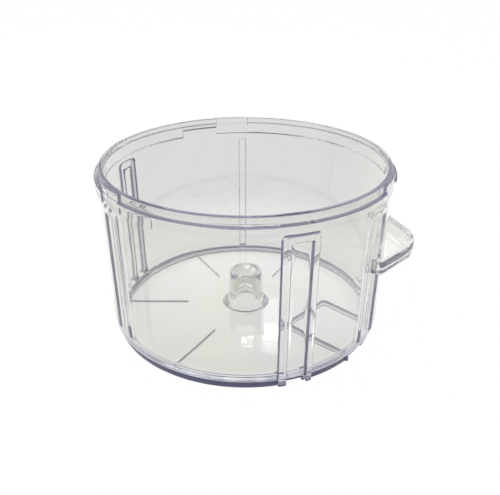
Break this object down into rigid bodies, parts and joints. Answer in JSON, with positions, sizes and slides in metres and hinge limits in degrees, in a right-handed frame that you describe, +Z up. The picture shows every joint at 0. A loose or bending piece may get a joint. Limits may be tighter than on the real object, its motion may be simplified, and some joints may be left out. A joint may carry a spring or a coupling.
{
  "type": "food processor bowl",
  "caption": "Clear round work bowl of a food processor, with a spindle hub, bayonet rim, side channels and a finger grip.",
  "frame": {"origin": "centre of the foot circle, on the plane that the bowl stands on, under the axis of the spindle hub", "axes": "+Z up along the bowl's axis; -Y is the bowl's front, between the left gap and the front channel; the finger grip is towards +X"},
  "size_m": [0.1988, 0.186, 0.1104],
  "materials": {
    "clear_plastic": "polished, transparent, very slightly grey-green"
  },
  "bodies": {
    "root": {"back_left_channel": "clear_plastic", "back_lid_block": "clear_plastic", "back_rib": "clear_plastic", "bowl_floor": "clear_plastic", "bowl_wall": "clear_plastic", "floor_rib_1": "clear_plastic", "floor_rib_2": "clear_plastic", "floor_rib_3": "clear_plastic", "floor_rib_4": "clear_plastic", "foot_ring": "clear_plastic", "front_channel": "clear_plastic", "front_collar": "clear_plastic", "grip_floor": "clear_plastic", "grip_wall": "clear_plastic", "hub_flare": "clear_plastic", "hub_tube": "clear_plastic", "left_channel": "clear_plastic", "left_collar": "clear_plastic", "left_lid_block": "clear_plastic", "locating_fin": "clear_plastic", "pocket_far_wall": "clear_plastic", "pocket_inner_wall": "clear_plastic", "pocket_near_wall": "clear_plastic", "right_channel": "clear_plastic", "right_collar": "clear_plastic", "right_lid_block": "clear_plastic", "rim_band": "clear_plastic"}
  },
  "joints": []
}
